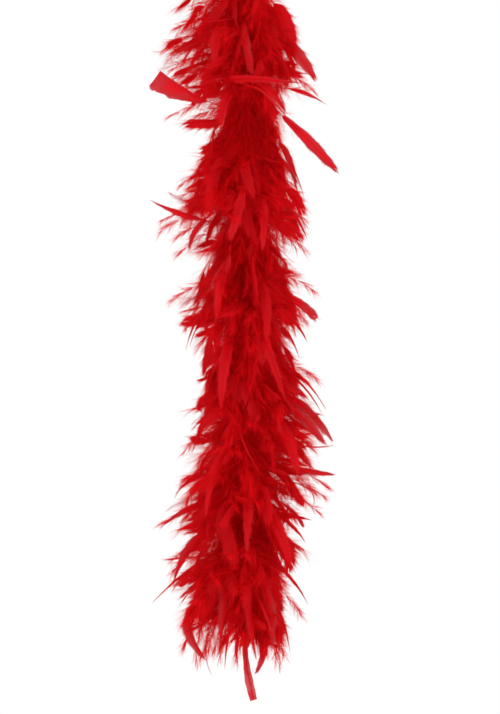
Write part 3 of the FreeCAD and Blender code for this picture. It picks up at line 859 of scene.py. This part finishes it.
def cord_material(name, dark, light, twist_scale):
    m, nt, out = material(name)
    pos = nt.nodes.new("ShaderNodeTexCoord")
    barb = nt.nodes.new("ShaderNodeAttribute"); barb.attribute_name = "barb"
    noise = node(nt, "ShaderNodeTexNoise", Scale=900.0, Detail=4.0)
    nt.links.new(pos.outputs["Object"], noise.inputs["Vector"])
    line = math_node(nt, "SINE", math_node(nt, "MULTIPLY", barb.outputs["Fac"], twist_scale))
    h = math_node(nt, "ADD", math_node(nt, "MULTIPLY", line, 0.5), noise.outputs["Fac"])
    col = ramp(nt, math_node(nt, "MULTIPLY", h, 0.7, clamp=True), [(0.1, dark), (0.8, light)])
    p = nt.nodes.new("ShaderNodeBsdfPrincipled")
    nt.links.new(col, p.inputs["Base Color"])
    p.inputs["Specular IOR Level"].default_value = 0.15
    p.inputs["Sheen Weight"].default_value = 0.3
    nt.links.new(math_node(nt, "ADD", 0.7, math_node(nt, "MULTIPLY", noise.outputs["Fac"], 0.2)), p.inputs["Roughness"])
    bn = nt.nodes.new("ShaderNodeBump")
    bn.inputs["Strength"].default_value = 0.7
    bn.inputs["Distance"].default_value = 0.0003
    nt.links.new(h, bn.inputs["Height"])
    nt.links.new(bn.outputs[0], p.inputs["Normal"])
    nt.links.new(p.outputs[0], out.inputs["Surface"])
    return m


cord_mat = cord_material("red_cotton_cord", (0.26, 0.003, 0.009), (0.62, 0.010, 0.020), 14.0)
thread_mat = cord_material("red_thread", (0.20, 0.002, 0.007), (0.50, 0.008, 0.017), 20.0)


# ---------------------------------------------------------------------------
# core, loop, whippings, knot
# ---------------------------------------------------------------------------
def tube(buf, path, radius, sides=10, closed_ends=True, tone=0.5, flute=None):
    """A round tube along a path; radius may vary; flute adds strands."""
    path = np.asarray(path, float)
    k = len(path)
    t = unit(np.gradient(path, axis=0))
    n = np.empty_like(path)
    ref = np.array([0.0, 1.0, 0.0]) if abs(t[0][1]) < 0.9 else np.array([1.0, 0, 0])
    prev = unit(ref - np.dot(ref, t[0]) * t[0])
    for i in range(k):
        prev = unit(prev - np.dot(prev, t[i]) * t[i])
        n[i] = prev
    b = np.cross(t, n)
    s = np.concatenate([[0], np.cumsum(np.linalg.norm(np.diff(path, axis=0), axis=1))])
    rad = np.broadcast_to(np.asarray(radius, float), (k,))
    ang = np.linspace(0, 2 * math.pi, sides, endpoint=False)
    rr = np.broadcast_to(rad[:, None], (k, sides)).copy()
    if flute:
        strands, pitch, depth = flute
        rr *= 1 - depth * (0.5 - 0.5 * np.cos(strands * (ang[None] - 2 * math.pi * s[:, None] / pitch)))
    v = path[:, None] + rr[..., None] * (np.cos(ang)[None, :, None] * n[:, None]
                                        + np.sin(ang)[None, :, None] * b[:, None])
    i = np.arange(k - 1)[:, None] * sides
    j = np.arange(sides)[None]
    jn = (j + 1) % sides
    q = np.stack([i + j, i + jn, i + sides + jn, i + sides + j], -1).reshape(-1, 4)
    vv = v.reshape(-1, 3)
    tris = []
    al = np.repeat(s, sides)
    if closed_ends:
        c0, c1 = len(vv), len(vv) + 1
        vv = np.vstack([vv, path[0], path[-1]])
        al = np.concatenate([al, [0, s[-1]]])
        tris = ([[(a + 1) % sides, a, c0] for a in range(sides)]
                + [[(k - 1) * sides + a, (k - 1) * sides + (a + 1) % sides, c1] for a in range(sides)])
    buf.add(vv, q, tris, tone, al)


PLY_R = 1.3
LAY = 17.0            # length of one turn of the two plies


def plies(z):
    a = 2 * math.pi * (z - CORE_TOP) / LAY
    return (np.stack([PLY_R * np.cos(a), PLY_R * np.sin(a), z], -1),
            np.stack([-PLY_R * np.cos(a), -PLY_R * np.sin(a), z], -1))


cores = []
for i in range(ZONES):
    buf = Buf()
    zz = np.linspace(zone_top[i], zone_end[i], int((zone_top[i] - zone_end[i]) / 0.9) + 2)
    for line in plies(zz):
        tube(buf, line, PLY_R, sides=12, flute=(3, 6.0, 0.16))
    cores.append(buf.make("core_twist_%d" % (i + 1), cord_mat))

# the loop: the fold of the cord, on a smooth curve through its route
route = [(-1.35, 0, CORE_TOP), (-1.35, 0, -36.5), (-1.5, 0, -31.0), (-4.6, 0, -22.0),
         (-8.3, 0, -13.5), (-9.9, 0, -6.0), (-7.2, 0, 0.4), (0, 0, 2.3),
         (7.2, 0, 0.4), (9.9, 0, -6.0), (8.3, 0, -13.5), (4.6, 0, -22.0),
         (1.5, 0, -31.0), (1.35, 0, -36.5), (1.35, 0, CORE_TOP)]


def nurbs(points, name, resolution=16):
    cu = bpy.data.curves.new(name, "CURVE")
    cu.dimensions = "3D"
    cu.resolution_u = resolution
    sp = cu.splines.new("NURBS")
    sp.points.add(len(points) - 1)
    for p, c in zip(sp.points, points):
        p.co = (*c, 1)
    sp.order_u = 3
    sp.use_endpoint_u = True
    ob = bpy.data.objects.new(name, cu)
    bpy.context.scene.collection.objects.link(ob)
    bpy.context.view_layer.update()
    me = bpy.data.meshes.new_from_object(ob)
    pts = np.array([v.co[:] for v in me.vertices])
    bpy.data.objects.remove(ob)
    bpy.data.meshes.remove(me)
    return pts


loop_path = nurbs(route, "loop_route")
buf = Buf()
tube(buf, loop_path, PLY_R, sides=14, flute=(3, 6.0, 0.16))
loop_obj = buf.make("loop_of_cord", cord_mat)


def whip(name, z_top, z_end, radius):
    buf = Buf()
    turns = int((z_top - z_end) / 0.72)
    a = np.linspace(0, 2 * math.pi * turns, turns * 26)
    f = a / a[-1]
    rr = radius - 0.5 * np.clip(1 - np.minimum(f, 1 - f) / 0.06, 0, 1)
    path = np.stack([rr * np.cos(a), rr * np.sin(a), z_top + (z_end - z_top) * f], -1)
    tube(buf, path, 0.40, sides=7)
    # the sleeve of cord and quills that the thread is wound on
    zz = np.linspace(z_top + 0.6, z_end - 0.6, 10)
    bulge = np.array([3.0] + [radius - 0.15] * 8 + [3.0])
    tube(buf, np.stack([zz * 0, zz * 0, zz], -1), bulge, sides=20)
    return buf.make(name, thread_mat)


tw_lo, tw_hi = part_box("top_whipping")
bw_lo, bw_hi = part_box("bottom_whipping")
top_whip = whip("top_thread_whipping", tw_hi[2] * 1000 - 0.4, tw_lo[2] * 1000 + 0.4, 4.0)
end_whip = whip("bottom_thread_whipping", bw_hi[2] * 1000 - 0.4, bw_lo[2] * 1000 + 0.4, 4.0)

kn_z = CORE_END - 5.2
a = np.linspace(0, 2 * math.pi, 120)
buf = Buf()
trefoil = np.stack([1.25 * (np.sin(a) + 2 * np.sin(2 * a)), 1.25 * (np.cos(a) - 2 * np.cos(2 * a)),
                    -2.6 * np.sin(3 * a)], -1) * 0.95 + np.array([0, 0, kn_z])
tube(buf, trefoil, 1.9, sides=12, closed_ends=False, flute=(3, 6.0, 0.16))
for line in plies(np.linspace(CORE_END + 1.0, CORE_END - 3.5, 8)):
    tube(buf, line, PLY_R, sides=10)
for x, y, lean in ((2.0, 0.8, 0.16), (-1.9, -0.6, -0.19)):
    u = np.linspace(0, 1, 10)
    path = np.stack([x + 14 * lean * u + 0.6 * np.sin(3 * u), y + 0.8 * np.sin(2.4 * u), kn_z - 2 - 12 * u], -1)
    tube(buf, path, PLY_R * (1 - 0.25 * u), sides=10, flute=(3, 6.0, 0.16))
    for _ in range(16):
        d = np.array([lean + rng.normal(0, 0.22), rng.normal(0, 0.22), -1.0])
        u2 = np.linspace(0, 1, 6)[:, None]
        p = path[-1] + rng.normal(0, 0.4, 3) + d * u2 * rng.uniform(5, 9) + rng.normal(0, 1.2, 3) * u2 ** 2
        tube(buf, p, 0.16 * (1 - 0.5 * u2[:, 0]), sides=4)
knot = buf.make("stopper_knot", cord_mat)

# ---------------------------------------------------------------------------
# pieces: the zone pieces set in place with the model's parts hidden; loop, whippings, knot, bunch and tail attached to
# their bodies
# ---------------------------------------------------------------------------
names = [None] + ["strand_%d" % k for k in range(1, N_SEG + 1)]


def across(ob, i, slot, *nodes):
    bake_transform(ob)
    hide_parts(*nodes)


for i in range(ZONES):
    k, last = i + 1, i == ZONES - 1
    more = [k, N_SEG] if last else [k]
    across(cores[i], i, "core_cord", *["core_cord_%d" % n for n in more])
    across(vanes[i].make("body_feathers_%d" % k, vane_mat), i, "feather_vane", *["feathers_%d" % n for n in more])
    across(fluff[i].make("down_fluff_%d" % k, down_mat), i, "down", *["down_%d" % n for n in more])
    across(inner[i].make("inner_down_%d" % k, down_mat), i, "down")
    across(plume_f[i].make("plume_front_%d" % k, down_mat), i, "down")
    across(plume_b[i].make("plume_back_%d" % k, down_mat), i, "down")
    across(quills[i].make("quills_%d" % k, quill_mat), i, "feather_vane")
    across(outer[i].make("outer_feathers_%d" % k, vane_painted_through_light_mat), i, "feather_vane", *["long_feathers_%d" % n for n in more])
    across(outer_q[i].make("outer_quills_%d" % k, quill_mat), i, "feather_vane")

across(end_f.make("plume_front_end", down_mat), ZONES - 1, "down")
across(end_b.make("plume_back_end", down_mat), ZONES - 1, "down")
for buf, name in ((bunch_f, "plume_front_bunch"), (bunch_b, "plume_back_bunch")):
    ob = buf.make(name, down_mat)
    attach(ob, names[-1])

for ob, body, slot, cad in ((loop_obj, names[1], "core_cord", "hanging_loop"),
                            (top_whip, names[1], "thread", "top_whipping"),
                            (end_whip, names[-1], "thread", "bottom_whipping"),
                            (knot, names[-1], "core_cord", "end_knot")):
    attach(ob, body)
    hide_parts(cad)
tail_ob = tail.make("long_tail_feather", vane_painted_through_light_mat)
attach(tail_ob, names[-1])
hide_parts("tail_feather")

# the ends of each length of cord, in metres; nothing is done with them
for i, ob in enumerate(cores):
    a, b = zone_top[i] * MM, zone_end[i] * MM

# ---------------------------------------------------------------------------
# floor, light, camera
# ---------------------------------------------------------------------------
bpy.ops.mesh.primitive_circle_add(vertices=96, radius=1.25, fill_type="NGON", location=(0, 0, -1.22))
floor = bpy.context.object
floor.name = "floor"
fm, nt, out = material("pale_floor")
p = nt.nodes.new("ShaderNodeBsdfPrincipled")
p.inputs["Base Color"].default_value = (0.93, 0.93, 0.93, 1)
p.inputs["Roughness"].default_value = 0.9
nt.links.new(p.outputs[0], out.inputs["Surface"])
floor.data.materials.append(fm)

world = bpy.data.worlds.new("studio")
bpy.context.scene.world = world
world.use_nodes = True
bg = world.node_tree.nodes["Background"]
bg.inputs[0].default_value = (1, 1, 1, 1)
bg.inputs[1].default_value = 1.0


def area(name, loc, aim, size, power):
    d = bpy.data.lights.new(name, "AREA")
    d.shape = "DISK"
    d.size = size
    d.energy = power
    o = bpy.data.objects.new(name, d)
    bpy.context.scene.collection.objects.link(o)
    o.location = loc
    o.rotation_euler = (Vector(aim) - Vector(loc)).to_track_quat("-Z", "Y").to_euler()
    return o


area("key", (-0.9, -2.3, 0.7), (0, 0, -0.5), 0.9, 2.5)
area("fill", (1.8, -1.8, -0.1), (0, 0, -0.5), 1.4, 1.2)

cam = bpy.data.cameras.new("camera")
cam.sensor_fit = "VERTICAL"
cam.sensor_height = 36.0
DIST = 3.2
frame_h = 714 * SCALE * MM
cam.lens = 36.0 * DIST / frame_h
cam.clip_start, cam.clip_end = 0.05, 50
co = bpy.data.objects.new("camera", cam)
bpy.context.scene.collection.objects.link(co)
co.location = (sx(250) * MM, -DIST, sz(357) * MM)
co.rotation_euler = (math.radians(90), 0, 0)
bpy.context.scene.camera = co
bpy.context.scene.view_settings.view_transform = "Standard"
bpy.context.scene.view_settings.look = "None"
bpy.context.scene.view_settings.exposure = 0.0
